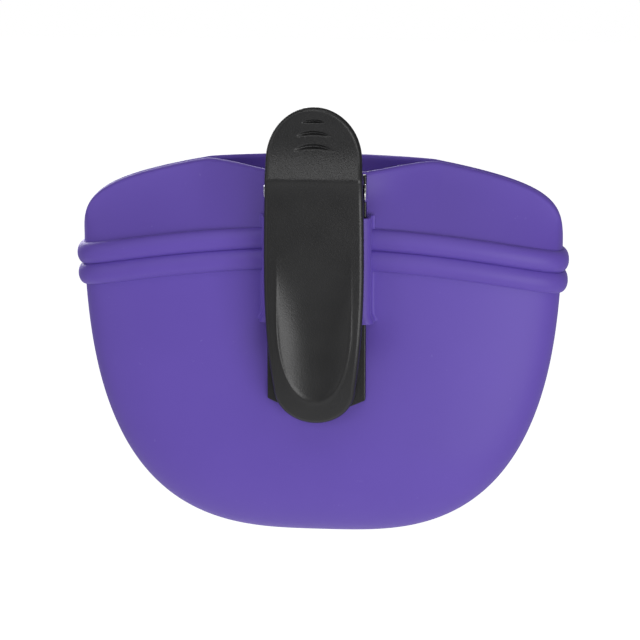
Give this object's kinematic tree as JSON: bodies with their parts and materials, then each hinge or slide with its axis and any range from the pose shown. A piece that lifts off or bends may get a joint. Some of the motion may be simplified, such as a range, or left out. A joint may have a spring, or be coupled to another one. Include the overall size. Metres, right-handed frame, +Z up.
{
  "type": "treat pouch",
  "caption": "Soft moulded treat pouch with a magnetic mouth, raised beads, a hang hole and a removable spring belt clip in a sleeve on its back.",
  "frame": {"origin": "middle of the belt clip's throat, between the lever and the sleeve, at the top of the space the belt fills", "axes": "+X across the pouch, +Y out of its back towards the wearer's belt, +Z up"},
  "size_m": [0.1346, 0.0417, 0.1225],
  "materials": {
    "silicone": "matt moulded silicone, violet",
    "clip_plastic": "finely textured black moulding",
    "pin_steel": "polished steel",
    "spring_steel": "bright spring wire",
    "magnet": "nickel plated"
  },
  "bodies": {
    "pouch": {"pocket_shell": "silicone", "back_lip": "silicone", "clip_sleeve": "silicone", "back_magnet_left": "magnet", "back_magnet_right": "magnet"},
    "front_lip": {"front_lip": "silicone", "front_magnet_left": "magnet", "front_magnet_right": "magnet"},
    "clip": {"clip_plate": "clip_plastic", "hinge_pin": "pin_steel", "torsion_spring": "spring_steel"},
    "clip_lever": {"clip_lever": "clip_plastic"}
  },
  "joints": [
    {"name": "mouth_open", "type": "hinge", "parent": "pouch", "child": "front_lip", "pos_m": [0, -0.03195, -0.0075], "axis": [1, 0, 0], "range_deg": [0, 35], "stiffness_Nm_per_rad": 0.02, "springref_deg": -8.59},
    {"name": "clip_slide", "type": "slide", "parent": "pouch", "child": "clip", "axis": [0, 0, 1], "range_m": [0, 0.08]},
    {"name": "lever_pivot", "type": "hinge", "parent": "clip", "child": "clip_lever", "pos_m": [0, -0.00075, 0.0084], "axis": [1, 0, 0], "range_deg": [0, 14], "stiffness_Nm_per_rad": 0.4, "springref_deg": -20.05, "deforming": ["torsion_spring"]}
  ]
}
